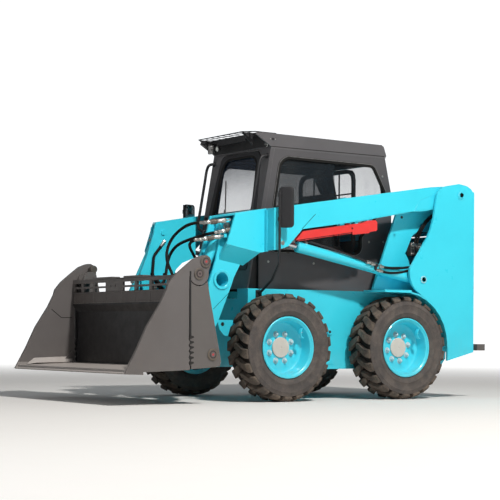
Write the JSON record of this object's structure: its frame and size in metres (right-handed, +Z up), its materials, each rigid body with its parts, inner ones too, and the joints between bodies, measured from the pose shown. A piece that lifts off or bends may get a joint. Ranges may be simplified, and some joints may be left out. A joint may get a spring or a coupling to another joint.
{
  "type": "skid steer loader",
  "caption": "Compact skid steer loader with lift arms along the cab sides, a split clamshell bucket, closed cab and wheels that roll.",
  "frame": {"origin": "ground under the middle of the whole machine, bucket to rear bumper", "axes": "+X forward towards the bucket, +Y to the machine's left, +Z up"},
  "size_m": [3.292, 1.722, 1.962],
  "materials": {
    "machine_paint": "gloss enamel, light dust",
    "rim_paint": "enamel, dusty",
    "tyre_rubber": "dusty rubber",
    "cab_paint": "satin charcoal enamel",
    "bucket_paint": "satin charcoal enamel, worn edges",
    "black_trim": "satin black",
    "glass": "clear, slightly tinted",
    "rod_chrome": "polished",
    "safety_red": "satin enamel",
    "engine_iron": "sooty, matte",
    "cab_plastic": "grained",
    "hose_rubber": "ribbed, matte",
    "seat_vinyl": "matte vinyl"
  },
  "bodies": {
    "chassis": {"chassis_frame": "machine_paint", "left_upright": "machine_paint", "right_upright": "machine_paint", "rear_bumper": "cab_paint", "engine_block": "engine_iron", "cab_frame": "cab_paint", "cab_roof": "cab_paint", "roof_visor": "black_trim", "rear_screen": "black_trim", "left_window_glass": "glass", "right_window_glass": "glass", "rear_window_glass": "glass", "seat_base": "cab_plastic", "seat_cushion": "seat_vinyl", "seat_back": "seat_vinyl", "left_mirror": "black_trim", "right_mirror": "black_trim", "left_grab_handle": "black_trim", "right_grab_handle": "black_trim"},
    "lift_arms": {"left_lift_arm": "machine_paint", "right_lift_arm": "machine_paint", "arm_cross_tube": "machine_paint", "arm_support_bar": "safety_red", "aux_hose_upper": "hose_rubber", "aux_hose_middle": "hose_rubber"},
    "bucket": {"bucket_back": "bucket_paint", "quick_attach": "bucket_paint"},
    "jaw": {"bucket_jaw": "bucket_paint"},
    "cab_door": {"front_door": "black_trim", "front_door_glass": "glass"},
    "engine_door": {"rear_door": "machine_paint"},
    "hood": {"engine_hood": "machine_paint"},
    "front_left_wheel": {"front_left_tyre": "tyre_rubber", "front_left_rim": "rim_paint"},
    "front_right_wheel": {"front_right_tyre": "tyre_rubber", "front_right_rim": "rim_paint"},
    "rear_left_wheel": {"rear_left_tyre": "tyre_rubber", "rear_left_rim": "rim_paint"},
    "rear_right_wheel": {"rear_right_tyre": "tyre_rubber", "rear_right_rim": "rim_paint"},
    "left_lift_barrel": {"left_lift_cylinder": "machine_paint"},
    "left_lift_piston": {"left_lift_rod": "rod_chrome"},
    "left_tilt_barrel": {"left_tilt_cylinder": "machine_paint"},
    "left_tilt_piston": {"left_tilt_rod": "rod_chrome"},
    "left_jaw_barrel": {"left_jaw_cylinder": "machine_paint"},
    "left_jaw_piston": {"left_jaw_rod": "rod_chrome"},
    "right_lift_barrel": {"right_lift_cylinder": "machine_paint"},
    "right_lift_piston": {"right_lift_rod": "rod_chrome"},
    "right_tilt_barrel": {"right_tilt_cylinder": "machine_paint"},
    "right_tilt_piston": {"right_tilt_rod": "rod_chrome"},
    "right_jaw_barrel": {"right_jaw_cylinder": "machine_paint"},
    "right_jaw_piston": {"right_jaw_rod": "rod_chrome"}
  },
  "joints": [
    {"name": "front_left_wheel_spin", "type": "hinge", "parent": "chassis", "child": "front_left_wheel", "pos_m": [0.259, 0.6286, 0.3865], "axis": [0, 1, 0], "continuous": true},
    {"name": "front_right_wheel_spin", "type": "hinge", "parent": "chassis", "child": "front_right_wheel", "pos_m": [0.259, -0.6286, 0.3865], "axis": [0, 1, 0], "continuous": true},
    {"name": "rear_left_wheel_spin", "type": "hinge", "parent": "chassis", "child": "rear_left_wheel", "pos_m": [-0.821, 0.6286, 0.3865], "axis": [0, 1, 0], "continuous": true},
    {"name": "rear_right_wheel_spin", "type": "hinge", "parent": "chassis", "child": "rear_right_wheel", "pos_m": [-0.821, -0.6286, 0.3865], "axis": [0, 1, 0], "continuous": true},
    {"name": "arm_lift", "type": "hinge", "parent": "chassis", "child": "lift_arms", "pos_m": [-1.359, 0, 1.56], "axis": [0, -1, 0], "range_deg": [-3.5, 60]},
    {"name": "bucket_tilt", "type": "hinge", "parent": "lift_arms", "child": "bucket", "pos_m": [0.854, 0, 0.4], "axis": [0, 1, 0], "range_deg": [-20, 95], "deforming": ["aux_hose_upper", "aux_hose_middle"]},
    {"name": "jaw_open", "type": "hinge", "parent": "bucket", "child": "jaw", "pos_m": [1.077, 0, 0.885], "axis": [0, -1, 0], "range_deg": [0, 50]},
    {"name": "cab_door_swing", "type": "hinge", "parent": "chassis", "child": "cab_door", "pos_m": [0.299, -0.334, 1.35], "axis": [0.1787, 0, -0.9839], "range_deg": [0, 88]},
    {"name": "engine_door_swing", "type": "hinge", "parent": "chassis", "child": "engine_door", "pos_m": [-1.526, -0.484, 0.85], "axis": [0, 0, 1], "range_deg": [0, 100]},
    {"name": "hood_lift", "type": "hinge", "parent": "chassis", "child": "hood", "pos_m": [-0.979, 0, 1.345], "axis": [0, 1, 0], "range_deg": [0, 50]},
    {"name": "left_lift_cylinder_swing", "type": "hinge", "parent": "chassis", "child": "left_lift_barrel", "pos_m": [-0.986, 0.655, 0.902], "axis": [0, -1, 0], "range_deg": [-4, 57]},
    {"name": "left_lift_cylinder_extend", "type": "slide", "parent": "left_lift_barrel", "child": "left_lift_piston", "axis": [0.9829, 0, 0.1842], "range_m": [-0.05, 0.76]},
    {"name": "left_tilt_cylinder_swing", "type": "hinge", "parent": "lift_arms", "child": "left_tilt_barrel", "pos_m": [0.639, 0.439, 1.245], "axis": [0, -1, 0], "range_deg": [-1, 4]},
    {"name": "left_tilt_cylinder_extend", "type": "slide", "parent": "left_tilt_barrel", "child": "left_tilt_piston", "axis": [0.4362, 0, -0.8999], "range_m": [-0.09, 0.36]},
    {"name": "left_jaw_cylinder_swing", "type": "hinge", "parent": "bucket", "child": "left_jaw_barrel", "pos_m": [0.967, 0.77, 0.34], "axis": [0, -1, 0], "range_deg": [-1, 6]},
    {"name": "left_jaw_cylinder_extend", "type": "slide", "parent": "left_jaw_barrel", "child": "left_jaw_piston", "axis": [0.0951, 0, 0.9955], "range_m": [-0.085, 0.01]},
    {"name": "right_lift_cylinder_swing", "type": "hinge", "parent": "chassis", "child": "right_lift_barrel", "pos_m": [-0.986, -0.655, 0.902], "axis": [0, -1, 0], "range_deg": [-4, 57]},
    {"name": "right_lift_cylinder_extend", "type": "slide", "parent": "right_lift_barrel", "child": "right_lift_piston", "axis": [0.9829, 0, 0.1842], "range_m": [-0.05, 0.76]},
    {"name": "right_tilt_cylinder_swing", "type": "hinge", "parent": "lift_arms", "child": "right_tilt_barrel", "pos_m": [0.639, -0.439, 1.245], "axis": [0, -1, 0], "range_deg": [-1, 4]},
    {"name": "right_tilt_cylinder_extend", "type": "slide", "parent": "right_tilt_barrel", "child": "right_tilt_piston", "axis": [0.4362, 0, -0.8999], "range_m": [-0.09, 0.36]},
    {"name": "right_jaw_cylinder_swing", "type": "hinge", "parent": "bucket", "child": "right_jaw_barrel", "pos_m": [0.967, -0.77, 0.34], "axis": [0, -1, 0], "range_deg": [-1, 6]},
    {"name": "right_jaw_cylinder_extend", "type": "slide", "parent": "right_jaw_barrel", "child": "right_jaw_piston", "axis": [0.0951, 0, 0.9955], "range_m": [-0.085, 0.01]}
  ],
  "couplings": [
    {"joint": "left_lift_cylinder_swing", "follows": "arm_lift", "ratio": 0.932},
    {"joint": "left_lift_cylinder_extend", "follows": "arm_lift", "m_per_rad": 0.7138},
    {"joint": "left_tilt_cylinder_swing", "follows": "bucket_tilt", "ratio": 0.03},
    {"joint": "left_tilt_cylinder_extend", "follows": "bucket_tilt", "m_per_rad": 0.213},
    {"joint": "left_jaw_cylinder_swing", "follows": "jaw_open", "ratio": 0.0806},
    {"joint": "left_jaw_cylinder_extend", "follows": "jaw_open", "m_per_rad": -0.0814},
    {"joint": "right_lift_cylinder_swing", "follows": "arm_lift", "ratio": 0.932},
    {"joint": "right_lift_cylinder_extend", "follows": "arm_lift", "m_per_rad": 0.7138},
    {"joint": "right_tilt_cylinder_swing", "follows": "bucket_tilt", "ratio": 0.03},
    {"joint": "right_tilt_cylinder_extend", "follows": "bucket_tilt", "m_per_rad": 0.213},
    {"joint": "right_jaw_cylinder_swing", "follows": "jaw_open", "ratio": 0.0806},
    {"joint": "right_jaw_cylinder_extend", "follows": "jaw_open", "m_per_rad": -0.0814}
  ]
}
